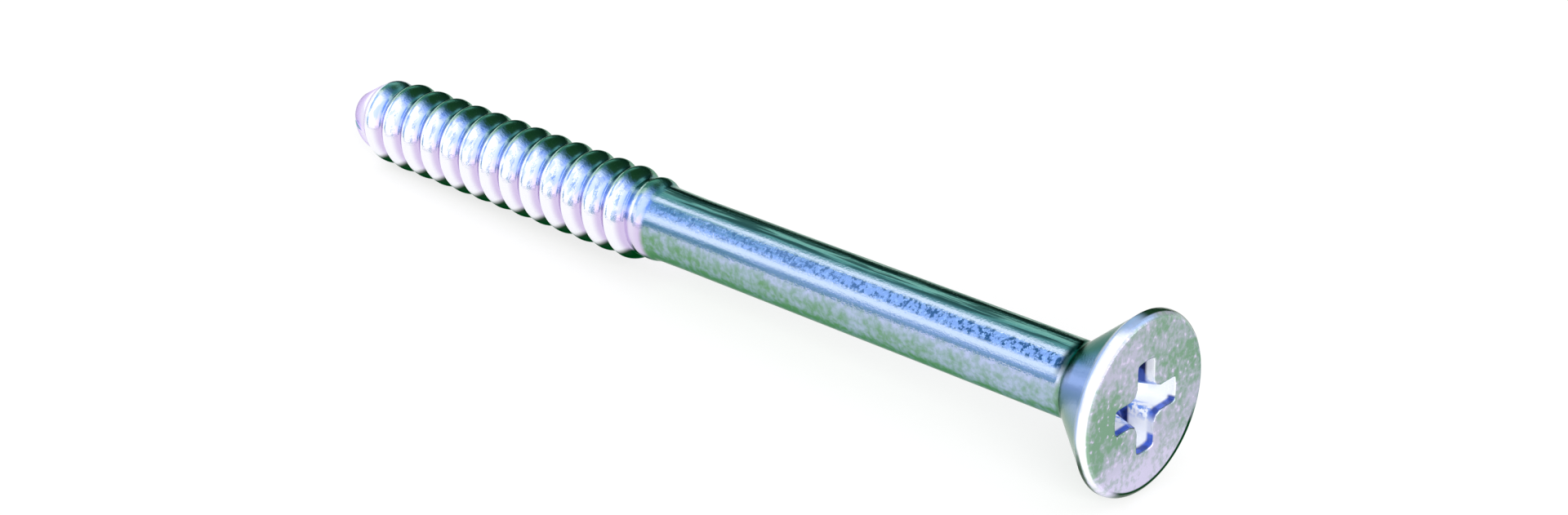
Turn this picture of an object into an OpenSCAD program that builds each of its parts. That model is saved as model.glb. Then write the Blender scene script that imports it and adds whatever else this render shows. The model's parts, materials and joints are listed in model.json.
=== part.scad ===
// Flat head wood screw: countersunk head with a cross recess, plain shank,
// rolled thread that stands proud of the shank, and a blunt pilot point.
// It lies on its side where it comes to rest, on the rim of the head and on the
// last two crests of the thread. All sizes are in millimetres.

/* [Overall] */
// Length from the face of the head to the end of the point
length = 56.5; // [50:0.5:70]

/* [Head] */
// Diameter across the rim
head_d = 9.3; // [8.2:0.1:10.4]
// Included angle of the countersunk underside
head_angle = 82; // [78:1:100]
// Height of the upright rim between the face and the cone
rim_h = 0.6; // [0.5:0.05:0.9]
// Radius that breaks the edge of the face
rim_r = 0.45; // [0.05:0.05:0.5]
// Radius of the fillet where the cone runs into the shank
neck_r = 0.9; // [0.3:0.1:1.6]

/* [Cross recess] */
// Distance across two opposite wings at the face
recess_d = 4.75; // [4:0.05:5.4]
// Depth at the centre
recess_depth = 2.6; // [2.2:0.05:3]
// Width of a wing at the face
wing_w = 1.3; // [0.9:0.05:1.4]
// Included taper of the two sides of a wing
wing_taper = 5.75; // [2:0.25:10]
// Included taper of the outer ends of the wings
end_taper = 26.5; // [16:0.5:32]
// Slope of the floor, measured from the face
floor_slope = 28; // [15:1:35]
// Distance from the axis to the ridges between the wings, at the face
core_r = 1.15; // [1:0.05:1.3]
// Angle of the ridges between the wings
ridge_angle = 140; // [120:1:160]

/* [Shank] */
// Diameter of the plain shank
shank_d = 3.95; // [3.7:0.05:4.3]
// Step from the shank down to the blank that the thread is rolled on
shank_step = 0.02; // [0.01:0.005:0.06]

/* [Thread] */
// Diameter over the crests
thread_d = 5; // [4.6:0.05:5.4]
// Diameter at the roots
root_d = 4.1; // [3.6:0.05:4.3]
// Distance between neighbouring crests
pitch = 1.675; // [1.3:0.025:2]
// Threaded length, from the end of the shank to the end of the point
thread_len = 26.1; // [16:0.1:32]
// Width of the flat between two turns
root_w = 0.35; // [0.2:0.05:0.5]
// Width of the rounded crest
crest_w = 0.5; // [0.3:0.05:0.6]
// Turns over which the thread runs out beside the shank
run_out = 1.4; // [0.5:0.1:2]
// Distance from the last crest that touches the ground to the start of the point
last_turn = 1.1; // [0.2:0.1:2]
// Turns over which the thread fades out at the point
fade_out = 0.95; // [0.5:0.05:1.2]

/* [Point] */
// Length of the rounded point
point_len = 1.9; // [1.2:0.1:3]
// Diameter of the flat at its end
point_d = 2.4; // [1.4:0.1:2.8]

/* [Hidden] */

$fn = 96;
// Steps for one turn of the thread, and for a rounded corner of the blank
turn_steps = 36;
corner_steps = 6;
// How far a cutting tool passes the face that it cuts
overrun = 0.2;
// Turns of the strip that are buried in the end of the shank
buried_turns = 1.2;
// Smooth band between the end of the thread and the flat end of the point
end_band = 0.1;

head_r = head_d / 2;
shank_r = shank_d / 2;
thread_r = thread_d / 2;
root_r = root_d / 2;
point_r = point_d / 2;

// Distances along the axis, from the face of the head towards the point
cone_angle = head_angle / 2;
cone_end = rim_h + (head_r - shank_r) / tan(cone_angle);
neck_end = cone_end + neck_r * tan(cone_angle / 2);
shank_end = length - thread_len;
point_start = length - point_len;

// The thread's section over one pitch: place along the axis and height, as
// shares of the pitch and of the thread's depth, with the crest in the middle
root_share = root_w / pitch;
crest_share = crest_w / pitch;
crest_shoulder = 0.9;
thread_section = [
    [0, 0],
    [root_share / 2, 0],
    [0.5 - crest_share / 2, crest_shoulder],
    [0.5, 1],
    [0.5 + crest_share / 2, crest_shoulder],
    [1 - root_share / 2, 0]
];
section_steps = len(thread_section);

// Turns are counted along the thread. The screw stops rolling where two crests
// touch the ground: the last one of full height, and the next one, which is a
// little lower. It dips within a part of a turn before it comes to the ground.
bottom_turn = 0.5;
dip_turns = 0.1;
last_crest = point_start - last_turn;
full_crest = last_crest - pitch;
function turn_at(place) = bottom_turn + (place - last_crest) / pitch;
function place_at(turn) = last_crest + (turn - bottom_turn) * pitch;

// The strip is one pitch wide. It begins inside the shank, takes the form of
// the thread from the end of the shank on, and fades out over the point.
thread_starts = turn_at(shank_end + pitch / 2);
thread_ends = turn_at(length - end_band - pitch / 2);
strip_first = thread_starts - buried_turns;
strip_steps = ceil((thread_ends - strip_first) * turn_steps);

// How the screw lies: the rim and the last full crest touch the ground
rest_tilt = atan((head_r - thread_r) / (full_crest - rim_h));
rest_height = head_r * cos(rest_tilt) + rim_h * sin(rest_tilt);
head_reach = head_r * sin(rest_tilt);
point_reach = length * cos(rest_tilt) + point_r * sin(rest_tilt);

// Share of the full height at which the last crest just reaches the ground
last_share = 1 - pitch * tan(rest_tilt) / (thread_r - root_r);

// Points on an arc round a centre, from one angle to another
function arc(centre, radius, from, to) = [
    for (i = [0:corner_steps])
        let (a = from + (to - from) * i / corner_steps)
        centre + radius * [cos(a), sin(a)]
];

// Head and shank as turned: half of the section, with the axis on the left
module blank() {
    outline = concat(
        [[0, 0]],
        arc([head_r - rim_r, rim_r], rim_r, -90, 0),
        [[head_r, rim_h]],
        arc([shank_r + neck_r, neck_end], neck_r, 180 + cone_angle, 180),
        [[shank_r, shank_end], [0, shank_end]]
    );
    rotate_extrude() polygon(outline);
}

// One slot across the face, wide enough at the face for two opposite wings
module wing_pair() {
    top_w = wing_w + 2 * overrun * tan(wing_taper / 2);
    bottom_w = wing_w - 2 * recess_depth * tan(wing_taper / 2);
    rotate([90, 0, 0])
        linear_extrude(head_d, center = true)
            polygon([
                [-top_w / 2, -overrun],
                [top_w / 2, -overrun],
                [bottom_w / 2, recess_depth],
                [-bottom_w / 2, recess_depth]
            ]);
}

// The middle of the recess: a four-pointed star that narrows with the depth,
// whose inner corners are the ridges that stand between the wings
module recess_core() {
    ridge = core_r / sqrt(2);
    lean = (180 - ridge_angle) / 2;
    star_tip = ridge + ridge / tan(45 - lean);
    narrowing = 1 - recess_depth * tan(end_taper / 2) / core_r;
    linear_extrude(recess_depth, scale = narrowing)
        polygon([
            for (a = [0:90:270])
                each [
                    star_tip * [cos(a), sin(a)],
                    core_r * [cos(a + 45), sin(a + 45)]
                ]
        ]);
    translate([0, 0, -overrun])
        linear_extrude(overrun)
            polygon([
                for (a = [0:90:270])
                    each [
                        star_tip * [cos(a), sin(a)],
                        core_r * [cos(a + 45), sin(a + 45)]
                    ]
            ]);
}

// The outside of the recess: the wings' tapered ends, and the sloping floor
module recess_envelope() {
    mouth_r = recess_d / 2;
    end_slope = tan(end_taper / 2);
    fall = tan(floor_slope);
    // Where a wing's end meets the floor
    foot_depth = (recess_depth - mouth_r * fall) / (1 - end_slope * fall);
    foot_r = mouth_r - foot_depth * end_slope;
    rotate_extrude()
        polygon([
            [0, -overrun],
            [mouth_r + overrun * end_slope, -overrun],
            [foot_r, foot_depth],
            [0, recess_depth]
        ]);
}

module cross_recess() {
    intersection() {
        recess_envelope();
        union() {
            wing_pair();
            rotate([0, 0, 90]) wing_pair();
            recess_core();
        }
    }
}

// Radius under the thread: the root, falling in a curve over the point
function core_radius(place) =
    let (along = max(0, place - point_start) / point_len)
    root_r - (root_r - point_r) * along * along;

// Shares of the thread's full form: beside the shank, and towards the point,
// where it dips to the height of the last crest and then fades out
function share(value) = max(0, min(1, value));
function formed(turn) = share((turn - thread_starts) / run_out);
function dipped(turn) = 1 - (1 - last_share) * share(1 + (turn - bottom_turn) / dip_turns);
function grown(turn) = dipped(turn) * share((thread_ends - turn) / fade_out);

// One point of the strip: a step round the thread, and a corner of its section
function thread_point(step, corner) =
    let (
        turn = strip_first + step / turn_steps,
        section = thread_section[corner],
        place = place_at(turn) + (section[0] - 0.5) * pitch,
        depth = thread_r - root_r,
        rolled_r = core_radius(place) + depth * section[1] * grown(turn),
        unrolled_r = shank_r - shank_step,
        radius = unrolled_r + (rolled_r - unrolled_r) * formed(turn)
    )
    [radius * cos(360 * turn), radius * sin(360 * turn), place];

// Root, thread and point as one closed strip that winds round the axis. Each
// turn of the strip is one pitch wide and shares its edge with the next turn.
module threaded_end() {
    rows = strip_steps + turn_steps;
    // The last turn of the strip ends on a row of single points
    points = concat(
        [
            for (step = [0:strip_steps], corner = [0:section_steps - 1])
                thread_point(step, corner)
        ],
        [for (step = [strip_steps + 1:rows]) thread_point(step, 0)],
        [
            for (i = [0:turn_steps - 1])
                let (a = 360 * (strip_first + (strip_steps + i) / turn_steps))
                [point_r * cos(a), point_r * sin(a), length]
        ],
        [[0, 0, place_at(strip_first - 0.5)]]
    );
    first_row = (strip_steps + 1) * section_steps;
    first_rim = first_row + turn_steps;
    apex = first_rim + turn_steps;

    function strip_index(step, corner) =
        corner == section_steps ? strip_index(step + turn_steps, 0) :
        step > strip_steps ? first_row + step - strip_steps - 1 :
        step * section_steps + corner;
    function rim_index(i) = first_rim + i % turn_steps;

    winding = [
        for (step = [0:strip_steps - 1], corner = [0:section_steps - 1])
            let (
                a = strip_index(step, corner),
                b = strip_index(step, corner + 1),
                c = strip_index(step + 1, corner + 1),
                d = strip_index(step + 1, corner)
            )
            each [[a, b, c], [a, c, d]]
    ];
    // The hidden start: from the strip's first turn to one point on the axis
    start = concat(
        [
            for (step = [0:turn_steps - 1])
                [apex, strip_index(step, 0), strip_index(step + 1, 0)]
        ],
        [
            for (corner = [0:section_steps - 1])
                [apex, strip_index(0, corner + 1), strip_index(0, corner)]
        ]
    );
    // The point: from the strip's last turn to the rim of the flat end
    nose = [
        for (i = [0:turn_steps - 2])
            let (
                a = strip_index(strip_steps + i, 0),
                b = strip_index(strip_steps + i + 1, 0)
            )
            each [[a, rim_index(i), rim_index(i + 1)], [a, rim_index(i + 1), b]]
    ];
    seam_top = strip_index(strip_steps + turn_steps - 1, 0);
    seam = concat(
        [[seam_top, rim_index(turn_steps - 1), rim_index(0)]],
        [[seam_top, rim_index(0), strip_index(strip_steps, 0)]],
        [
            for (corner = [0:section_steps - 1])
                [
                    seam_top,
                    strip_index(strip_steps, corner),
                    strip_index(strip_steps, corner + 1)
                ]
        ]
    );
    flat = [[for (i = [0:turn_steps - 1]) rim_index(turn_steps - 1 - i)]];
    polyhedron(points, concat(winding, start, nose, seam, flat));
}

// The axis lies along X with the head at +X, and the ground is at Z = 0
module lay_down() {
    translate([(point_reach - head_reach) / 2, 0, rest_height])
        rotate([0, -90 - rest_tilt, 0])
            children();
}

module screw() {
    color([0.72, 0.76, 0.80])
        lay_down()
            union() {
                difference() {
                    blank();
                    cross_recess();
                }
                threaded_end();
            }
}

screw();
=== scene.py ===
# %% [markdown]
# # A flat head wood screw
# The real screw is one length of steel wire. A press forms the head and the cross recess, dies roll
# the thread on the other end, and a bath plates it with zinc. This lesson makes it as one closed
# skin, plates it with a shader and lights it as metal is lit. The solid model comes first: it is the
# frame that everything here has to keep to.

# %% Load the frame
import json
import math

import bmesh
import bpy
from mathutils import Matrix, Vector


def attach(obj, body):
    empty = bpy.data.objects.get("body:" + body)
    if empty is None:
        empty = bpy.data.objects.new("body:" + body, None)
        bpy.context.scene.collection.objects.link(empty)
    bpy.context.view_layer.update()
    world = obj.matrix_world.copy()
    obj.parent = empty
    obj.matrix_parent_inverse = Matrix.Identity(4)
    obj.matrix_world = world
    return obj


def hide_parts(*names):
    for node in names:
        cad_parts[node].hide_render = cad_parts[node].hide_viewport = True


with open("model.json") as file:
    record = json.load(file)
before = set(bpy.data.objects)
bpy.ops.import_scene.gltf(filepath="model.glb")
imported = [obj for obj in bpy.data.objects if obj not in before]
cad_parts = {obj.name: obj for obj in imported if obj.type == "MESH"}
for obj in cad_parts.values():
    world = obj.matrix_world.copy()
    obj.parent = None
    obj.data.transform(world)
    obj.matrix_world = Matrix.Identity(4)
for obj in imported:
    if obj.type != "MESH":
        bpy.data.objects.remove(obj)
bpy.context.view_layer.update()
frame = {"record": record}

# %% [markdown]
# ## Where the screw lies
# The screw lies on its rim and its thread, so its axis leans a little. The record of the solid model
# gives the middle of the head's face and the direction out of it. From these come the three axes of
# the screw: along it from face to point, up, and sideways. Every point of the skin is then given the
# way a lathe hand would: how far from the face, at which angle, and how far from the axis.

# %% Axes of the screw
MM = 0.001
mounts = {mount["name"]: mount for mount in frame["record"]["mounts"]}
face_middle = Vector(mounts["drive_recess"]["pos_m"])
along = -Vector(mounts["drive_recess"]["axis"])
sideways = Vector((0, 1, 0))
upwards = sideways.cross(along)


def spot(distance, angle, radius):
    """A point at a distance from the face, at an angle round the axis, at a radius from the axis."""
    spoke = upwards * math.cos(angle) + sideways * math.sin(angle)
    return face_middle + along * distance + spoke * radius


print("middle of the face", tuple(face_middle), "axis", tuple(along))

# %% [markdown]
# ## The camera
# The photograph looks down on the screw from the side of the head. The lens and the two angles are
# those at which the outline of the solid model falls on the outline in the photograph. The camera is
# placed from one point that is easy to find in the picture, the middle of the head's face, and from
# its distance along the line of sight.

# %% Camera
picture_w = 1920
picture_h = 631
sensor_w = 36.0
lens = 63.876
azimuth = math.radians(43.031)
elevation = math.radians(27.382)
face_pixel = (1403.77, 497.95)
face_depth = 129.31 * MM

forward = Vector((
    -math.sin(azimuth) * math.cos(elevation),
    math.cos(azimuth) * math.cos(elevation),
    -math.sin(elevation),
))
right = Vector((math.cos(azimuth), math.sin(azimuth), 0))
above = right.cross(forward)
pixel_size = face_depth * sensor_w / lens / picture_w
eye = face_middle - forward * face_depth
eye -= right * (face_pixel[0] - picture_w / 2) * pixel_size
eye += above * (face_pixel[1] - picture_h / 2) * pixel_size

camera_data = bpy.data.cameras.new("camera")
camera_data.sensor_width = sensor_w
camera_data.lens = lens
camera_data.clip_start = 1 * MM
camera_data.clip_end = 100.0
camera = bpy.data.objects.new("camera", camera_data)
camera.location = eye
camera.rotation_mode = "QUATERNION"
camera.rotation_quaternion = forward.to_track_quat("-Z", "Y")
bpy.context.scene.collection.objects.link(camera)
bpy.context.scene.camera = camera
print("camera at", tuple(eye))

# %% [markdown]
# ## Rings
# Most of the screw is turned: its skin is a row of rings, each joined to the next. A curve with a
# bevel or a screw modifier could spin the profile too, but the thread at one end and the recess at
# the other have to grow out of the same skin, so the rings are made point by point. Their angles
# start where the thread starts, so that thread and shank later share their points.

# %% Rings
ring_steps = 192
shank_end = 30.4 * MM
length = 56.5 * MM
pitch = 1.675 * MM
point_length = 1.9 * MM
crest_to_point = 1.1 * MM
last_crest = length - point_length - crest_to_point
bottom_turn = 0.5


def turn_at(distance):
    """Turns of the thread, counted so that the crest nearest the point lies on the ground."""
    return bottom_turn + (distance - last_crest) / pitch


thread_starts = turn_at(shank_end + pitch / 2)
points = []
faces = []


def ring_angle(step):
    """Angle of one step round a ring."""
    return 2 * math.pi * (thread_starts + step / ring_steps)


def add_row(row):
    """Adds a closed row of points to the skin and gives their numbers."""
    first = len(points)
    points.extend(row)
    return list(range(first, len(points)))


def add_ring(distance, radius):
    """Adds a plain round ring."""
    return add_row([spot(distance, ring_angle(i), radius) for i in range(ring_steps)])


def join(row, next_row):
    """Joins two closed rows of as many points with a band of faces."""
    for i in range(len(row)):
        faces.append((row[i - 1], row[i], next_row[i], next_row[i - 1]))


print("rings of", ring_steps, "points; the thread starts at turn", round(thread_starts, 3))

# %% [markdown]
# ## The turned profile
# The head has a flat face with a broken edge, a short upright rim and a cone of 82 degrees, which
# runs into the shank in a fillet. Such edges are never quite sharp on pressed and plated steel. A
# bevel modifier could round them, but it would also round the thread, so each edge has its own arc:
# the arcs are what catches the light as thin bright lines.

# %% Profile of the head and the shank
head_r = 4.65 * MM
shank_r = 1.975 * MM
rim_height = 0.6 * MM
rim_edge_r = 0.45 * MM
rear_edge_r = 0.12 * MM
neck_r = 0.9 * MM
cone_half_angle = math.radians(41)
shank_ring_gap = 0.9 * MM
rim_steps = 12
rear_steps = 5
cone_steps = 6
neck_steps = 10


def arc(middle, radius, start, end, steps):
    """Points (distance, radius) on an arc, by its angles in degrees from the axis."""
    angles = [math.radians(start + (end - start) * i / steps) for i in range(steps + 1)]
    return [(middle[0] + radius * math.cos(a), middle[1] + radius * math.sin(a)) for a in angles]


def rear_edge():
    """The rounded edge where the upright rim meets the cone."""
    to_cone = rear_edge_r * math.tan((math.pi / 2 - cone_half_angle) / 2)
    middle = (rim_height - to_cone, head_r - rear_edge_r)
    return arc(middle, rear_edge_r, 90, math.degrees(cone_half_angle), rear_steps)


def turned_profile():
    """Distance and radius of every ring from the edge of the face to the end of the shank."""
    cone_end = rim_height + (head_r - shank_r) / math.tan(cone_half_angle)
    neck_end = cone_end + neck_r * math.tan(cone_half_angle / 2)
    profile = arc((rim_edge_r, head_r - rim_edge_r), rim_edge_r, 180, 90, rim_steps)
    profile += rear_edge()
    neck_from = 180 + math.degrees(cone_half_angle)
    fillet = arc((neck_end, shank_r + neck_r), neck_r, neck_from, 270, neck_steps)
    cone_from, cone_to = profile[-1], fillet[0]
    for i in range(1, cone_steps):
        share = i / cone_steps
        profile.append(tuple(a + (b - a) * share for a, b in zip(cone_from, cone_to)))
    profile += fillet
    straight = shank_end - neck_end
    count = round(straight / shank_ring_gap)
    profile += [(neck_end + straight * i / count, shank_r) for i in range(1, count)]
    return profile


turned_rings = [add_ring(distance, radius) for distance, radius in turned_profile()]
for row, next_row in zip(turned_rings, turned_rings[1:]):
    join(row, next_row)
print("head and shank:", len(turned_rings), "rings")

# %% [markdown]
# ## The cross recess
# A punch presses the recess: four wings whose sides and ends taper, a sloping floor, and ridges
# between the wings. A boolean cut would leave long thin faces at the mouth, which show as dents in
# a shiny surface. Seen along the axis, though, every level of the recess is one closed outline that
# has a single radius at each angle. So the recess is a stack of such outlines, and the mouth is
# rounded by moving the first few outwards.

# %% Outline of the recess at a depth
recess_r = 2.375 * MM
recess_depth = 2.6 * MM
wing_half_w = 0.65 * MM
wing_slope = math.tan(math.radians(5.75 / 2))
end_slope = math.tan(math.radians(26.5 / 2))
floor_fall = math.tan(math.radians(28))
core_r = 1.15 * MM
ridge_lean = math.radians((180 - 140) / 2)
corner_softness = 0.22 * MM
least_sine = 0.01


def soft_min(a, b, softness):
    """The smaller of two numbers, with a rounded change from one to the other."""
    mix = max(0.0, softness - abs(a - b)) / softness
    return min(a, b) - mix * mix * softness / 4


def recess_radius(angle, depth):
    """How far the recess reaches from the axis at an angle and a depth."""
    quarter = math.pi / 2
    fold = abs((angle + quarter / 2) % quarter - quarter / 2)
    ridge = core_r / math.sqrt(2)
    star_tip = ridge + ridge / math.tan(math.pi / 4 - ridge_lean)
    star = ridge * star_tip / (ridge * math.cos(fold) + (star_tip - ridge) * math.sin(fold))
    star *= 1 - depth * end_slope / core_r
    wing_side = (wing_half_w - depth * wing_slope) / max(math.sin(fold), least_sine)
    wing_end = recess_r - depth * end_slope
    floor = (recess_depth - depth) / floor_fall
    ends = soft_min(wing_end, floor, corner_softness)
    return max(0.0, soft_min(max(wing_side, star), ends, corner_softness))


def recess_outline(depth, widening):
    """The outline at a depth, moved outwards all round by a widening."""
    spokes = []
    for i in range(ring_steps):
        radius = recess_radius(ring_angle(i), depth)
        spokes.append(Vector((math.cos(ring_angle(i)), math.sin(ring_angle(i)))) * radius)
    outline = []
    for i in range(ring_steps):
        run = spokes[(i + 1) % ring_steps] - spokes[i - 1]
        outwards = Vector((run.y, -run.x)).normalized()
        x, y = spokes[i] + outwards * widening
        outline.append(face_middle + along * depth + upwards * x + sideways * y)
    return outline


print("a wing reaches", round(recess_radius(0.0, 0.0) / MM, 3), "mm from the axis")

# %% Recess
mouth_edge_r = 0.1 * MM
mouth_steps = 5
wall_steps = 9
floor_steps = 14
foot_depth = (recess_depth - recess_r * floor_fall) / (1 - end_slope * floor_fall)

levels = []
for i in range(mouth_steps + 1):
    swing = math.pi / 2 * i / mouth_steps
    levels.append((mouth_edge_r * (1 - math.cos(swing)), mouth_edge_r * (1 - math.sin(swing))))
for i in range(1, wall_steps + 1):
    levels.append((mouth_edge_r + (foot_depth - mouth_edge_r) * i / wall_steps, 0.0))
for i in range(1, floor_steps):
    levels.append((foot_depth + (recess_depth - foot_depth) * i / floor_steps, 0.0))

recess_rows = [add_row(recess_outline(depth, widening)) for depth, widening in levels]
for row, next_row in zip(recess_rows, recess_rows[1:]):
    join(next_row, row)
recess_bottom = add_row([face_middle + along * recess_depth])[0]
for i in range(ring_steps):
    faces.append((recess_rows[-1][i - 1], recess_bottom, recess_rows[-1][i]))
print("recess:", len(recess_rows), "outlines")

# %% [markdown]
# ## The flat face
# The face fills the ground between the mouth of the recess and the edge of the head. One large face
# with a hole would do for a flat surface, but the shading would then run across it in long streaks.
# Rows that change step by step from the one outline to the other keep it even.

# %% Face of the head
face_shares = (0.03, 0.2, 0.4, 0.6, 0.8, 0.97)
inner = [points[i] for i in recess_rows[0]]
outer = [points[i] for i in turned_rings[0]]
face_rows = [recess_rows[0]]
for share in face_shares:
    face_rows.append(add_row([a.lerp(b, share) for a, b in zip(inner, outer)]))
face_rows.append(turned_rings[0])
for row, next_row in zip(face_rows, face_rows[1:]):
    join(row, next_row)
print("face:", len(face_rows), "rows")

# %% [markdown]
# ## The rolled thread
# Dies squeeze the thread out of the wire, so its crests stand proud of the shank and every edge is
# round. A screw modifier would wind a section round the axis, but its ends would stay open. Here the
# thread is one strip, a pitch wide, that winds round the axis and shares each edge with the next
# turn. Beside the shank the strip starts as plain wire and takes its form in about a turn and a half.
# At the other end it fades out over the point. The crest nearest the point is a little lower than
# the one before it, so that the leaning screw rests on both.

# %% Section of the thread
thread_r = 2.5 * MM
root_r = 2.05 * MM
point_r = 1.2 * MM
point_start = length - point_length
section_steps = 24
run_out = 1.4
dip_turns = 0.1
fade_out = 0.95
end_band = 0.1 * MM
thread_ends = turn_at(length - end_band - pitch / 2)
rest_slope = math.tan(math.asin(-along.z))
last_share = 1 - pitch * rest_slope / (thread_r - root_r)


def clamp(value):
    """Keeps a share between 0 and 1."""
    return max(0.0, min(1.0, value))


def section_height(share):
    """Height of the thread over one pitch, from 0 at the root to 1 at the crest in the middle."""
    return 0.5 - 0.5 * math.cos(2 * math.pi * share)


def core_radius(distance):
    """Radius under the thread: the root, falling in a curve over the point."""
    gone = max(0.0, distance - point_start) / point_length
    return root_r - (root_r - point_r) * gone * gone


def strip_point(step, corner):
    """A point of the strip: a step along the thread and a corner of its section."""
    turn = thread_starts + step / ring_steps
    share = corner / section_steps
    distance = last_crest + (turn - bottom_turn + share - 0.5) * pitch
    dipped = 1 - (1 - last_share) * clamp(1 + (turn - bottom_turn) / dip_turns)
    grown = dipped * clamp((thread_ends - turn) / fade_out)
    formed = clamp((turn - thread_starts) / run_out)
    rolled = core_radius(distance) + (thread_r - root_r) * section_height(share) * grown
    return spot(distance, 2 * math.pi * turn, shank_r + (rolled - shank_r) * formed)


print("thread:", round(thread_ends - thread_starts, 2), "turns")

# %% Thread
strip_steps = math.ceil((thread_ends - thread_starts) * ring_steps)
strip = {}
for step in range(strip_steps + ring_steps + 1):
    corners = section_steps if step <= strip_steps else 1
    for corner in range(corners):
        strip[step, corner] = len(points)
        points.append(strip_point(step, corner))


def strip_number(step, corner):
    """Number of a point of the strip. Its far edge is the near edge of the next turn."""
    return strip[step + ring_steps, 0] if corner == section_steps else strip[step, corner]


for step in range(strip_steps):
    for corner in range(section_steps):
        faces.append((
            strip_number(step, corner),
            strip_number(step, corner + 1),
            strip_number(step + 1, corner + 1),
            strip_number(step + 1, corner),
        ))

# The shank's last ring meets the first turn of the strip, and one face closes the step at its start.
shank_row = turned_rings[-1]
last = ring_steps - 1
for i in range(last):
    faces.append((shank_row[i], strip[i, 0], strip[i + 1, 0], shank_row[i + 1]))
start_step = [strip_number(0, corner) for corner in range(section_steps + 1)]
faces.append((shank_row[last], strip[last, 0], *reversed(start_step), shank_row[0]))
print("thread:", strip_steps, "steps of", section_steps, "corners")

# %% [markdown]
# ## The point
# The end of this screw isn't sharp: the wire was cut off, and rolling rounded its end. A sphere
# pushed into the thread would leave a seam, so the point goes on from the last turn of the strip: a
# small arc, then a flat end.

# %% Point
tip_edge_r = 0.16 * MM
tip_inset = 0.08 * MM
tip_flat_share = 0.5
tip_slope = 48
tip_steps = 5
tip_middle = (length - tip_edge_r, point_r - tip_inset)
tip_profile = arc(tip_middle, tip_edge_r, tip_slope, 0, tip_steps)
tip_profile.append((length, tip_flat_share * point_r))
tip_turn = thread_starts + strip_steps / ring_steps
tip_angles = [2 * math.pi * (tip_turn + i / ring_steps) for i in range(ring_steps)]
tip_rows = []
for distance, radius in tip_profile:
    tip_rows.append(add_row([spot(distance, angle, radius) for angle in tip_angles]))
for i in range(last):
    a, b = strip[strip_steps + i, 0], strip[strip_steps + i + 1, 0]
    faces.append((a, tip_rows[0][i], tip_rows[0][i + 1], b))
end_step = [strip_number(strip_steps, corner) for corner in range(section_steps + 1)]
faces.append((strip[strip_steps + last, 0], tip_rows[0][last], tip_rows[0][0], *end_step))
for row, next_row in zip(tip_rows, tip_rows[1:]):
    join(row, next_row)
tip_end = add_row([face_middle + along * length])[0]
for i in range(ring_steps):
    faces.append((tip_rows[-1][i - 1], tip_rows[-1][i], tip_end))
print("point:", len(tip_rows), "rings")

# %% [markdown]
# ## One closed skin
# All rows become one mesh. It has to be closed, with every face looking outwards. The mesh tools
# check that, and only the truly sharp corners stay sharp in shading.

# %% Skin of the screw
sharp_angle = math.radians(40)
skin = bpy.data.meshes.new("plated_screw")
skin.from_pydata(points, [], faces)
tool = bmesh.new()
tool.from_mesh(skin)
bmesh.ops.recalc_face_normals(tool, faces=tool.faces)
open_edges = sum(1 for edge in tool.edges if not edge.is_manifold)
volume = tool.calc_volume(signed=True) / MM ** 3
triangles = sum(len(face.verts) - 2 for face in tool.faces)
tool.to_mesh(skin)
tool.free()
skin.polygons.foreach_set("use_smooth", [True] * len(skin.polygons))
skin.set_sharp_from_angle(angle=sharp_angle)
screw = bpy.data.objects.new("plated_screw", skin)
bpy.context.scene.collection.objects.link(screw)
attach(screw, "root")
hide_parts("screw")
print("skin:", triangles, "triangles,", open_edges, "open edges,", round(volume, 1), "cubic mm")

# %% [markdown]
# ## Shader sums as Python
# A finish is a long sum of textures, which is hard to read as a tree of nodes. This small class
# stands for one socket: adding, multiplying or comparing two of them adds the Math node for it, and
# one method makes every other kind of node.

# %% Sockets with arithmetic


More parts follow.
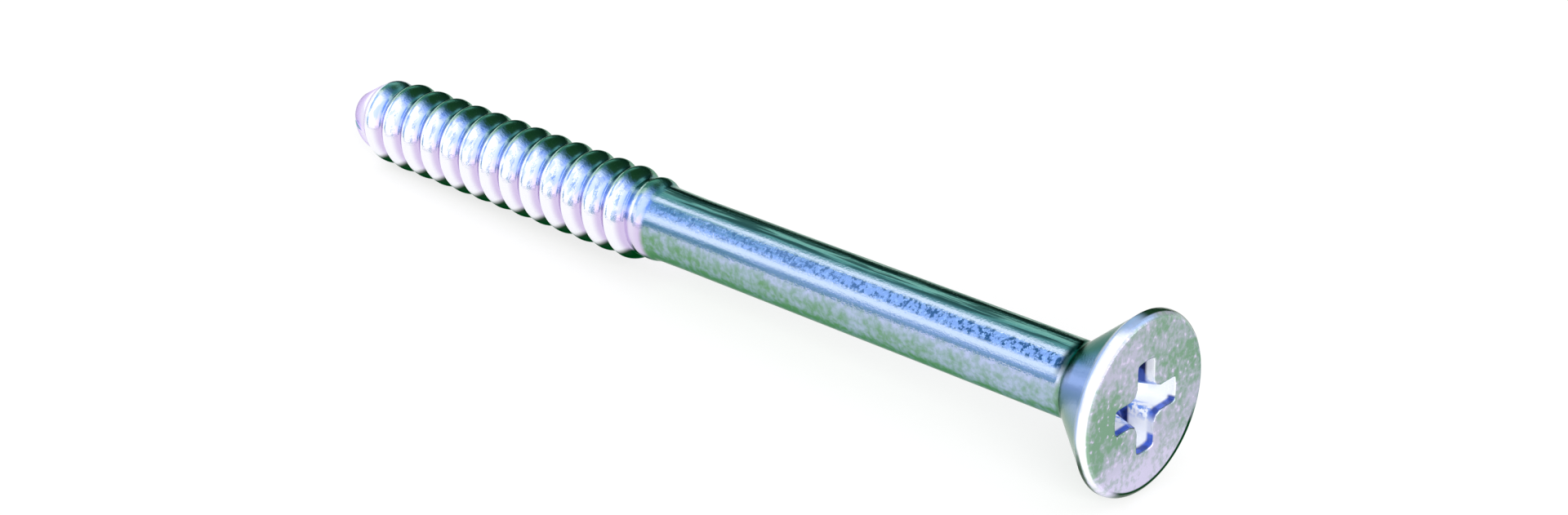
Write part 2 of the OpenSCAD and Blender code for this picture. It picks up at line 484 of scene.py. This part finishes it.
class Sock:
    """One output of a shader tree. Sums on it add Math nodes to that tree."""

    def __init__(self, tree, output=None):
        self.tree = tree
        self.output = output

    def make(self, kind, settings=None, sockets=None, out=0):
        """Adds a node, sets its settings, fills its sockets and gives one of its outputs."""
        node = self.tree.nodes.new(kind)
        for name, value in (settings or {}).items():
            if name == "stops":
                while len(node.color_ramp.elements) < len(value):
                    node.color_ramp.elements.new(1.0)
                for stop, (position, tint) in zip(node.color_ramp.elements, value):
                    stop.position = position
                    stop.color = (*tint, 1.0)
            else:
                setattr(node, name, value)
        for name, value in (sockets or {}).items():
            if isinstance(value, Sock):
                self.tree.links.new(value.output, node.inputs[name])
            else:
                node.inputs[name].default_value = value
        return Sock(self.tree, node.outputs[out] if len(node.outputs) else None)

    def math(self, operation, first, second=0.0):
        """A Math node with its two values."""
        return self.make("ShaderNodeMath", {"operation": operation}, {0: first, 1: second})

    def __add__(self, other):
        return self.math("ADD", self, other)

    def __sub__(self, other):
        return self.math("SUBTRACT", self, other)

    def __rsub__(self, other):
        return self.math("SUBTRACT", other, self)

    def __mul__(self, other):
        return self.math("MULTIPLY", self, other)

    def __truediv__(self, other):
        return self.math("DIVIDE", self, other)

    def __rtruediv__(self, other):
        return self.math("DIVIDE", other, self)

    __radd__ = __add__
    __rmul__ = __mul__

    def __abs__(self):
        return self.math("ABSOLUTE", self)

    def root(self):
        """Square root."""
        return self.math("SQRT", self)

    def larger(self, other):
        """The larger of two values, which joins two masks into one."""
        return self.math("MAXIMUM", self, other)

    def between(self, low, high):
        """From 0 at low to 1 at high, with level ends."""
        settings = {"interpolation_type": "SMOOTHSTEP"}
        return self.make("ShaderNodeMapRange", settings, {0: self, 1: low, 2: high})

    def dot(self, vector):
        """Dot product of a vector socket with a fixed vector."""
        settings = {"operation": "DOT_PRODUCT"}
        return self.make("ShaderNodeVectorMath", settings, {0: self, 1: vector}, "Value")

    def noise(self, scale, detail=2.0, roughness=0.5):
        """Noise at a place, about half on average."""
        settings = {"noise_dimensions": "3D"}
        sockets = {"Vector": self, "Scale": scale, "Detail": detail, "Roughness": roughness}
        return self.make("ShaderNodeTexNoise", settings, sockets)

    def mix(self, first, second):
        """Colour from first to second by this factor."""
        settings = {"data_type": "RGBA"}
        return self.make("ShaderNodeMix", settings, {0: self, 6: first, 7: second}, 2)


print("a socket knows:", ", ".join(name for name in vars(Sock) if not name.startswith("_")))

# %% Colours and materials


def colour(red, green, blue):
    """A colour from its screen values of 0 to 255, as the linear numbers that shaders use."""
    shares = (value / 255 for value in (red, green, blue))
    linear = [s / 12.92 if s <= 0.04045 else ((s + 0.055) / 1.055) ** 2.4 for s in shares]
    return (*linear, 1.0)


def new_material(name):
    """A material with an empty tree, and a socket of that tree to start from."""
    material = bpy.data.materials.new(name)
    material.use_nodes = True
    material.node_tree.nodes.clear()
    return material, Sock(material.node_tree)


print("half of the screen scale is", round(colour(128, 128, 128)[0], 3), "in linear light")

# %% [markdown]
# ## Zinc plate
# Bright zinc is a pale metal under a film so thin that it tints the light: green in one place, lilac
# or blue in the next. A painted image could hold these tints, but it would need a flat map of the
# whole skin. Here each tint has its place on the screw, and noise breaks up its borders. Some of the
# tints are painted light and shade: highlights, reflections and shade laid into the colour. So the
# first step is to know where a point of the skin lies: how far from the face and from the axis, how
# high, how far across, and from 1 on the side turned to the sky to -1 on the side turned away. The
# sky side leans a little to the back. All lengths in the finish are in millimetres.

# %% Places on the screw
sky_up = 0.938
sky_back = 0.347
plate, start = new_material("zinc_plate")
place = start.make("ShaderNodeTexCoord", out="Object")
in_mm = start.make("ShaderNodeVectorMath", {"operation": "SCALE"}, {0: place, "Scale": 1 / MM})
from_face = in_mm.dot(tuple(along)) - face_middle.dot(along) / MM
height = in_mm.dot(tuple(upwards)) - face_middle.dot(upwards) / MM
across = in_mm.dot(tuple(sideways))
from_axis = (height * height + across * across).root()
skyward = (height * sky_up + across * sky_back) / from_axis

on_head = 1 - from_face.between(3.4, 4.0)
on_thread = from_face.between(31.4, 31.8)
on_point = from_face.between(53.6, 55.4)
before_point = on_thread * (1 - on_point)
print("places:", len(plate.node_tree.nodes), "nodes")

# %% [markdown]
# ## The mottled film
# On the face and on the lower side of the shank the film is mottled: patches of green and lilac, a
# few tenths of a millimetre wide. Fine noise makes the patches, and coarse noise lets one tint win
# over a wider stretch. Two soft spots on the face are greener and its lower part is paler, as in the
# photograph. Small frosty dots on the face are nearly bare zinc.

# %% Film on the face and under the shank
green_film = colour(110, 158, 116)
moss_film = colour(134, 168, 144)
lilac_film = colour(196, 194, 216)
pale_lilac_film = colour(222, 214, 242)
pale_blue_film = colour(188, 200, 238)
frost_film = colour(226, 214, 244)
spot_core = 0.3
left_spot_strength = 0.75
top_spot_strength = 0.5
frost_strength = 0.8


def soft_spot(y, z, reach):
    """A soft round spot on the face, 1 in its middle."""
    away = (across - y) * (across - y) + (height - z) * (height - z)
    return 1 - away.root().between(reach * spot_core, reach)


patches = in_mm.noise(scale=3.2, roughness=0.6).between(0.30, 0.70) - 0.5
drift = in_mm.noise(scale=0.8).between(0.30, 0.70) - 0.5
left_spot = soft_spot(y=-3.3, z=-0.2, reach=2.7) * left_spot_strength
top_spot = soft_spot(y=2.6, z=2.2, reach=3.4) * top_spot_strength
face_foot = 1 - height.between(-3.2, -1.6)
face_share = 0.78 - left_spot - top_spot + face_foot * 0.2
shank_side = skyward.between(-0.42, -0.04)
# Painted shade: the underside of the shank is greener and darker.
shank_underside_shade = 1 - skyward.between(-0.78, -0.64)
shank_share = 0.56 + shank_side * 0.36 - shank_underside_shade * 0.30 - from_face * 0.010
lilac_share = on_head * face_share + (1 - on_head) * shank_share
patch_strength = 0.36 + on_head * 0.24
drift_strength = 0.30 + on_head * 0.25
mottle = patches * patch_strength + drift * drift_strength + lilac_share

face_lilac = height.between(-3.6, -1.4).mix(pale_lilac_film, lilac_film)
greens = on_head.mix(green_film, moss_film)
lilacs = on_head.mix(pale_blue_film, face_lilac)
film_and_painted_light = mottle.mix(greens, lilacs)
frost = in_mm.noise(scale=3.2, detail=1.0).between(0.64, 0.72) * on_head * frost_strength
film_and_painted_light = frost.mix(film_and_painted_light, frost_film)
print("with the mottled film:", len(plate.node_tree.nodes), "nodes")

# %% [markdown]
# ## Draw lines, painted glints and shade
# The wire was drawn through a die, which leaves fine lines along the shank. A brushed look can come
# from a shader that stretches its reflections, but single lines are wanted here, so the noise itself
# is stretched: the way along the axis is shortened before the noise reads it. On top of the shank
# the lines are light and dark streaks. Below them lie a row of dark specks and pale flecks, painted
# glints and shade where the plate is rough, and two bands of painted shade that darken towards the
# thread.

# %% Film, painted glints and shade on top of the shank
clear_film = colour(206, 216, 236)
light_streak_film = colour(226, 236, 236)
streak_film = colour(112, 130, 134)
shade_band_film = colour(140, 174, 184)
speck_shade_film = colour(76, 116, 140)
glint_film = colour(232, 240, 252)
line_stretch = 0.05

upper = skyward.between(-0.08, 0.08) * (1 - on_head)
film_and_painted_light = upper.mix(film_and_painted_light, clear_film)

drawn = start.make("ShaderNodeCombineXYZ", None, {0: from_face * line_stretch, 1: height, 2: across})
lines = drawn.noise(scale=5.0)
drawn_film = lines.between(0.42, 0.58).mix(light_streak_film, streak_film)
shank_top = upper * skyward.between(0.74, 0.84)
film_and_painted_light = shank_top.mix(film_and_painted_light, drawn_film)

# Painted shade: two bands that darken towards the thread, streaked by the draw lines.
upper_shade_band = skyward.between(0.40, 0.50) * (1 - skyward.between(0.64, 0.70))
lower_shade_band = 1 - skyward.between(0.08, 0.20)
near_thread = from_face.between(16.0, 27.0)
uneven = 0.35 + lines.between(0.30, 0.60) * 0.65
shade_bands = (upper_shade_band + lower_shade_band) * upper * near_thread * uneven
film_and_painted_light = shade_bands.mix(film_and_painted_light, shade_band_film)

# Painted glints and shade: dark specks and pale flecks in a band of light on the rough plate.
glint_row = skyward.between(0.28, 0.38) * (1 - skyward.between(0.60, 0.68))
glint_row = upper * glint_row * (1 - from_face.between(6.0, 30.0) * 0.5)
speck_shade = in_mm.noise(scale=3.6, detail=3.0, roughness=0.6).between(0.46, 0.60)
painted_glints = in_mm.noise(scale=5.5, roughness=0.6).between(0.54, 0.66)
film_and_painted_light = (speck_shade * glint_row).mix(film_and_painted_light, speck_shade_film)
film_and_painted_light = (painted_glints * glint_row).mix(film_and_painted_light, glint_film)
print("with the draw lines:", len(plate.node_tree.nodes), "nodes")

# %% [markdown]
# ## Film and painted shade on the thread
# Rolling polishes the crests, and the plating bath reaches them best, so they are nearly bare zinc.
# The roots keep more of the film and are darker, which is also painted shade in the valleys: blue
# above, a painted reflection, and lilac below. On top each crest has a dark leaf, a painted
# reflection, which leans with the slope of the thread: the direction of the surface, not only its
# place, tells where it is. The lowest edge, close to the ground, is dark green, a painted shadow.
# The point is bare again.

# %% Film and painted shade on the thread and the point
bare_zinc = colour(248, 248, 254)
blue_reflection_film = colour(170, 190, 240)
lilac_root_shade_film = colour(212, 196, 232)
leaf_reflection_film = colour(144, 176, 160)
edge_shade_film = colour(30, 62, 38)
wound_along = 2.2
wound_across = 0.6
reflection_streak_strength = 0.8
leaf_lean = 0.35

# Painted shade: the roots are darker than the crests, blue above as a painted reflection, lilac below.
root_shade_film = skyward.between(-0.1, 0.4).mix(lilac_root_shade_film, blue_reflection_film)
crest = from_axis.between(2.06, 2.36)
film_and_painted_light = on_thread.mix(film_and_painted_light, crest.mix(root_shade_film, bare_zinc))

wound = start.make("ShaderNodeCombineXYZ", None, {
    0: from_face * wound_along,
    1: height * wound_across,
    2: across * wound_across,
})
# Painted reflection: blue streaks round the middle of the thread.
reflection_streaks = wound.noise(scale=1.6, roughness=0.6).between(0.50, 0.62) * skyward.between(-0.15, 0.15)
film_and_painted_light = (reflection_streaks * before_point * reflection_streak_strength).mix(film_and_painted_light, blue_reflection_film)

# Painted reflection: a dark green leaf on top of each crest, which deepens the dark reflection of the
# tent.
faces_to = start.make("ShaderNodeTexCoord", out="Normal")
to_point = faces_to.dot(tuple(along))
leaf_reflection = before_point * (skyward + to_point * leaf_lean).between(0.46, 0.70)
leaf_reflection = leaf_reflection * (0.65 + from_axis.between(2.10, 2.30) * 0.35)
film_and_painted_light = leaf_reflection.mix(film_and_painted_light, leaf_reflection_film)
# Painted shadow: the lowest edge of the thread, close to the ground, is dark green.
low_edge_shadow = before_point * (1 - skyward.between(-0.91, -0.80))
film_and_painted_light = low_edge_shadow.mix(film_and_painted_light, edge_shade_film)
film_and_painted_light = on_point.mix(film_and_painted_light, bare_zinc)
print("with the thread:", len(plate.node_tree.nodes), "nodes")

# %% [markdown]
# ## Painted light and shade on the head
# The cone is teal on top, blue at the side and green below, and the fillet into the shank is dark:
# painted reflection and shade. The upright rim is the brightest part of the screw: a band of bare
# zinc on the side of the camera, a painted highlight, with a blue margin above it, a painted
# reflection. Dark lines of painted shade follow the outer edges of the head. They could be a second,
# dark material, but a tint keeps the plate in one piece.

# %% Painted reflection and shade on the cone and the neck
cone_blue_reflection_film = colour(146, 178, 240)
cone_top_shade_film = colour(78, 124, 132)
cone_low_shade_film = colour(130, 168, 142)
neck_shade_film = colour(44, 70, 72)

on_cone = from_face.between(0.54, 0.62) * (1 - from_face.between(3.0, 3.8))
# Painted reflection and shade on the cone: blue at the side, teal on top, green below.
cone = skyward.between(-0.5, 0.1).mix(cone_low_shade_film, cone_blue_reflection_film)
cone = skyward.between(0.40, 0.66).mix(cone, cone_top_shade_film)
film_and_painted_light = on_cone.mix(film_and_painted_light, cone)
# Painted shade: the fillet into the shank is dark.
neck_shade = from_face.between(2.5, 3.0) * (1 - from_face.between(3.9, 4.3)) * skyward.between(0.0, 0.5)
film_and_painted_light = neck_shade.mix(film_and_painted_light, neck_shade_film)
print("with the cone:", len(plate.node_tree.nodes), "nodes")

# %% Painted light and shade on the rim
rim_blue_reflection_film = colour(172, 196, 238)
rim_highlight_taper = 0.26
top_taper = 0.20
low_taper = 0.034

# Painted highlight: a band of bare zinc on the rim, on the side of the camera.
rim_highlight_edge = from_face + (1 - height.between(-1.8, 0.4)) * rim_highlight_taper
rim_highlight = from_axis.between(4.44, 4.54) * (1 - rim_highlight_edge.between(0.52, 0.62))
rim_highlight = rim_highlight * (1 - across.between(-1.6, -0.6)) * height.between(-4.1, -1.8)
film_and_painted_light = rim_highlight.mix(film_and_painted_light, bare_zinc)

# Painted reflection: a blue margin round the rim above the highlight.
rim_front = 1 - from_face.between(0.70, 0.85)
blue_side = from_face.between(0.46, 0.56) * rim_front * height.between(-0.8, 0.8)
blue_top = from_axis.between(4.36, 4.46) * rim_front * height.between(4.20, 4.55)
rim_blue_reflection = blue_side.larger(blue_top) * (1 - across.between(0.2, 1.2))
film_and_painted_light = rim_blue_reflection.mix(film_and_painted_light, rim_blue_reflection_film)

# Painted shade: dark lines along the outer edges of the head.
top_shade_line = (from_axis + across.between(2.5, 4.6) * top_taper).between(4.55, 4.60)
top_shade_line = top_shade_line * across.between(-0.6, 0.4) * height.between(1.2, 2.0) * on_head
low_shade_line = (from_axis + across * low_taper).between(4.14, 4.24)
low_shade_line = low_shade_line * (1 - height.between(-2.4, -1.4)) * across.between(-2.8, -1.8)
rear_shade_line = from_axis.between(4.40, 4.50) * from_face.between(0.34, 0.42)
rear_shade_line = rear_shade_line * (1 - height.between(-1.6, -0.2))
for shade_line in (top_shade_line, low_shade_line, rear_shade_line):
    film_and_painted_light = shade_line.mix(film_and_painted_light, edge_shade_film)
print("with the rim:", len(plate.node_tree.nodes), "nodes")

# %% [markdown]
# ## Film and painted shade in the recess
# The punch leaves the recess bright and a little rough. Its lower walls and deep corners are blue to
# navy, painted shade by depth and height: the light here is so soft that it leaves hardly any
# shadow. Small blue dashes lie round its middle.

# %% Film and painted shade in the recess
recess_film = colour(250, 252, 255)
dash_film = colour(112, 154, 232)
navy_shade_film = colour(22, 32, 84)
royal_shade_film = colour(74, 106, 208)

in_recess = from_face.between(0.02, 0.08) * (1 - from_face.between(2.62, 2.70))
in_recess = in_recess * (1 - from_axis.between(2.45, 2.60))
# Painted shade: the lower walls, the deep floor and the top wing are blue to navy.
side_walls = (1 - height.between(-0.52, -0.36)) * abs(across).between(0.55, 0.80)
low_end = 1 - height.between(-1.9, -1.6)
low_walls = side_walls.larger(low_end) * (1 - from_face.between(0.30, 0.48))
low_floor = from_face.between(1.35, 1.55) * (1 - height.between(-0.8, -0.6))
top_wing = from_face.between(0.42, 0.62) * height.between(0.65, 0.90)
recess_shade = low_walls.larger(low_floor.larger(top_wing))

dashes = in_mm.noise(scale=3.4).between(0.44, 0.56) * (1 - from_axis.between(0.9, 1.5))
recess = dashes.mix(recess_film, dash_film)
blueness = in_mm.noise(scale=1.7, detail=1.0).between(0.40, 0.60) * 0.55 + low_walls * 0.45
recess = recess_shade.mix(recess, blueness.mix(navy_shade_film, royal_shade_film))
film_and_painted_light = in_recess.mix(film_and_painted_light, recess)
print("with the recess:", len(plate.node_tree.nodes), "nodes")

# %% [markdown]
# ## Grain and shine
# Plating adds a grain like orange peel, and the draw lines can be felt. Both go into a bump: true
# relief this fine would need millions of faces. Most of the plate is a mirror. The rim, the recess
# and the lower cone scatter light as well, so they are less metallic there. At a glancing angle any
# metal mirrors nearly everything, with a tint of its own that the shader takes as one fixed colour.
# Three such colours are needed, a dark, a pale and a lilac one, so three shaders are mixed by place.

# %% Grain
grain_height = 0.010 * MM
line_height = 0.006 * MM
grain = in_mm.noise(scale=7.0, detail=3.0, roughness=0.6)
bumped = start.make("ShaderNodeBump", None, {"Height": grain, "Distance": grain_height, "Strength": 1.0})
bumped = start.make("ShaderNodeBump", None, {
    "Height": lines,
    "Distance": line_height,
    "Strength": 1.0,
    "Normal": bumped,
})
print("with the grain:", len(plate.node_tree.nodes), "nodes")

# %% Shine
dark_edge = colour(162, 188, 174)
pale_edge = colour(255, 255, 255)
lilac_edge = colour(214, 196, 240)
matt_rim = 0.7
matt_recess = 0.8
matt_cone = 0.5
least_rough = 0.06
rough_spread = 0.08
rough_recess = 0.08

on_rim = from_axis.between(4.30, 4.42) * (1 - from_face.between(0.80, 0.95))
cone_scatter = on_cone * (matt_cone - skyward.between(0.30, 0.55) * matt_cone)
scatter = cone_scatter.larger((on_rim * matt_rim).larger(in_recess * matt_recess))
rough = in_mm.noise(scale=1.3, detail=3.0) * rough_spread + least_rough + in_recess * rough_recess


def shine(edge):
    """Plated metal whose glancing reflections have a tint of their own."""
    return start.make("ShaderNodeBsdfPrincipled", None, {
        "Base Color": film_and_painted_light,
        "Metallic": 1 - scatter,
        "Roughness": rough,
        "Specular Tint": edge,
        "Normal": bumped,
    })


pale_thread = on_thread * (1 - abs(skyward).between(0.70, 0.88))
pale_cone = on_cone * skyward.between(-0.3, 0.2) * (1 - skyward.between(0.30, 0.50))
pale = pale_thread.larger(on_point).larger(pale_cone.larger(in_recess))
on_tip = from_face.between(53.8, 55.6)
plated = start.make("ShaderNodeMixShader", None, {0: pale, 1: shine(dark_edge), 2: shine(pale_edge)})
plated = start.make("ShaderNodeMixShader", None, {0: on_tip, 1: plated, 2: shine(lilac_edge)})
start.make("ShaderNodeOutputMaterial", None, {"Surface": plated})
skin.materials.append(plate)
print("zinc plate:", len(plate.node_tree.nodes), "nodes")

# %% [markdown]
# ## The floor
# The photograph has a plain white ground. A floor that is white by light alone would need so much of
# it that the screw would burn out, so most of the white is the floor's own glow, for the camera and
# for what the metal mirrors. The rest is an ordinary matt surface, which keeps the screw's shadow.

# %% Floor
floor_half = 6.0
floor_glow = 0.72
floor_grey = (0.34, 0.34, 0.34, 1.0)
floor_white = (0.9, 0.9, 0.9, 1.0)

floor_mesh = bpy.data.meshes.new("floor")
corners = [(-floor_half, -floor_half, 0), (floor_half, -floor_half, 0)]
corners += [(floor_half, floor_half, 0), (-floor_half, floor_half, 0)]
floor_mesh.from_pydata(corners, [], [(0, 1, 2, 3)])
floor = bpy.data.objects.new("floor", floor_mesh)
bpy.context.scene.collection.objects.link(floor)

ground, start = new_material("white_ground")
seen = start.make("ShaderNodeLightPath", out="Is Camera Ray")
for kind in ("Is Glossy Ray", "Is Transmission Ray"):
    seen = seen + start.make("ShaderNodeLightPath", out=kind)
grey = start.make("ShaderNodeBsdfDiffuse", None, {"Color": floor_grey})
glow = start.make("ShaderNodeEmission", None, {"Color": (1, 1, 1, 1), "Strength": floor_glow})
bright = start.make("ShaderNodeAddShader", None, {0: grey, 1: glow})
plain = start.make("ShaderNodeBsdfDiffuse", None, {"Color": floor_white})
shown = start.make("ShaderNodeMixShader", None, {0: seen, 1: plain, 2: bright})
start.make("ShaderNodeOutputMaterial", None, {"Surface": shown})
floor_mesh.materials.append(ground)
print("floor:", 2 * floor_half, "m wide, glow", floor_glow)

# %% [markdown]
# ## The light tent
# Metal has no look of its own: it shows what is round it. A photographer builds a tent of panels
# that run along the screw: white in front, blue above, one thin strip of light, and dark panels
# behind that draw the dark edges. Single lamps would only show as spots, and a picture of a room
# would light the floor too. So the tent is half a ball that glows, and the colour of each place on it
# depends on the angle round the screw's axis, from the front over the top to the back. The camera
# looks through it, and only reflections see it.

# %% Tent
tent_r = 1.0
tent_segments = 64
tent_rings = 32
tent_foot = -0.01 * tent_r
tent_mesh = bpy.data.meshes.new("light_tent")
tool = bmesh.new()
bmesh.ops.create_uvsphere(tool, u_segments=tent_segments, v_segments=tent_rings, radius=tent_r)
below = [vert for vert in tool.verts if vert.co.z < tent_foot]
bmesh.ops.delete(tool, geom=below, context="VERTS")
tool.to_mesh(tent_mesh)
tool.free()
tent = bpy.data.objects.new("light_tent", tent_mesh)
bpy.context.scene.collection.objects.link(tent)
tent.visible_camera = False
tent.visible_diffuse = False
tent.visible_shadow = False
print("tent:", len(tent_mesh.polygons), "faces, radius", tent_r, "m")

# %% [markdown]
# ## Two rows of panels
# In the photograph's view the shank mirrors the far part of the tent, beyond the point, and flanks of
# the thread that are turned to the camera mirror its middle. Each part has its own row of panels,
# written as the stops of a colour ramp: a place from 0 in front to 1 at the back, and a colour whose
# numbers may go past 1, because it is light.

# %% Panels
horizon_panel = (0.27, 0.46, 0.62)
low_blue_panel = (0.36, 0.54, 0.89)
pale_panel = (0.95, 1.08, 1.18)
white_panel = (1.10, 1.22, 1.25)
sky_panel = (0.75, 0.92, 1.20)
blue_panel = (0.40, 0.65, 1.15)
steel_panel = (0.30, 0.55, 0.80)
grey_panel = (0.50, 0.74, 0.78)
teal_panel = (0.12, 0.36, 0.36)
mist_panel = (0.26, 0.58, 0.52)
dark_panel = (0.05, 0.16, 0.15)
deep_panel = (0.012, 0.045, 0.034)
far_panels = [
    (0.000, horizon_panel),
    (0.055, horizon_panel),
    (0.090, low_blue_panel),
    (0.140, pale_panel),
    (0.190, white_panel),
    (0.240, sky_panel),
    (0.275, blue_panel),
    (0.440, blue_panel),
    (0.465, steel_panel),
    (0.487, white_panel),
    (0.540, white_panel),
    (0.570, grey_panel),
    (0.600, teal_panel),
    (0.700, teal_panel),
    (0.745, mist_panel),
    (0.800, mist_panel),
    (0.845, dark_panel),
    (0.900, deep_panel),
    (1.000, deep_panel),
]

dim_panel = (0.6, 0.6, 0.7)
bright_panel = (1.5, 1.5, 1.6)
ice_panel = (0.85, 0.98, 1.25)
azure_panel = (0.50, 0.70, 1.15)
slate_panel = (0.12, 0.26, 0.45)
forest_panel = (0.03, 0.11, 0.05)
near_panels = [
    (0.000, dim_panel),
    (0.060, bright_panel),
    (0.440, bright_panel),
    (0.500, ice_panel),
    (0.560, azure_panel),
    (0.620, slate_panel),
    (0.680, forest_panel),
    (1.000, deep_panel),
]
print("panels:", len(far_panels), "and", len(near_panels), "stops")

# %% [markdown]
# ## Ends of the tent
# From behind, the shank mirrors the head's end of the tent. There the far row is folded, so that the
# front half of its panels is seen from both sides and the shank isn't burnt white. Both ends close
# with bright panels, for the surfaces that are turned to the head's end or to the point's. At the
# back the bright end beyond the point is cut off, so that the dark leaves on the thread stay dark.

# %% Glow of the tent
end_panel = (2.2, 2.2, 2.3)
panels, start = new_material("tent_panels")
place = start.make("ShaderNodeTexCoord", out="Object")
to_head = place.dot((1, 0, 0)) / tent_r
round_axis = start.math("ARCTAN2", place.dot((0, 0, 1)), place.dot((0, 1, 0)) * -1) / math.pi
folded = 0.5 - abs(round_axis - 0.5)


def panel_row(stops, where):
    """The colours of a row of panels at a place round the axis."""
    return start.make("ShaderNodeValToRGB", {"stops": stops}, {0: where})


far_row = panel_row(far_panels, round_axis)
near_row = panel_row(near_panels, round_axis)
light = to_head.between(-0.45, -0.05).mix(far_row, near_row)
light = to_head.between(0.45, 0.55).mix(light, panel_row(far_panels, folded))
light = to_head.between(0.66, 0.78).mix(light, (*end_panel, 1.0))
behind = round_axis.between(0.44, 0.54) * to_head.between(-0.87, -0.81)
point_end = (1 - to_head.between(-0.80, -0.69)) * (1 - behind)
light = point_end.mix(light, (*bright_panel, 1.0))
glow = start.make("ShaderNodeEmission", None, {"Color": light, "Strength": 1.0})
start.make("ShaderNodeOutputMaterial", None, {"Surface": glow})
tent_mesh.materials.append(panels)
panels.cycles.emission_sampling = "NONE"
print("glow of the tent:", len(panels.node_tree.nodes), "nodes")

# %% [markdown]
# ## Lamp and world
# The tent gives light to mirrors alone. The rim, the recess and the floor scatter light, so they need
# a lamp: a sun as wide as a large softbox, from the side of the camera. It is hidden from
# reflections, or it would show as a white disc in the metal. A plain white world fills the shadows.

# %% Lamp
lamp_level = 2.3
lamp_from = Vector((0.75, -0.52, 0.42))
lamp_width = math.radians(40)
lamp_data = bpy.data.lights.new("soft_lamp", "SUN")
lamp_data.energy = lamp_level
lamp_data.angle = lamp_width
lamp = bpy.data.objects.new("soft_lamp", lamp_data)
lamp.rotation_mode = "QUATERNION"
lamp.rotation_quaternion = lamp_from.to_track_quat("Z", "Y")
lamp.visible_glossy = False
bpy.context.scene.collection.objects.link(lamp)
print("lamp:", lamp_level, "from", tuple(lamp_from))

# %% World and view
world_level = 0.65
world = bpy.data.worlds.new("studio")
bpy.context.scene.world = world
world.use_nodes = True
background = world.node_tree.nodes["Background"]
background.inputs["Color"].default_value = (1, 1, 1, 1)
background.inputs["Strength"].default_value = world_level
bpy.context.scene.view_settings.view_transform = "Standard"
print("world:", world_level)

# %% [markdown]
# ## The size
# The skin must not leave the box of the solid model.
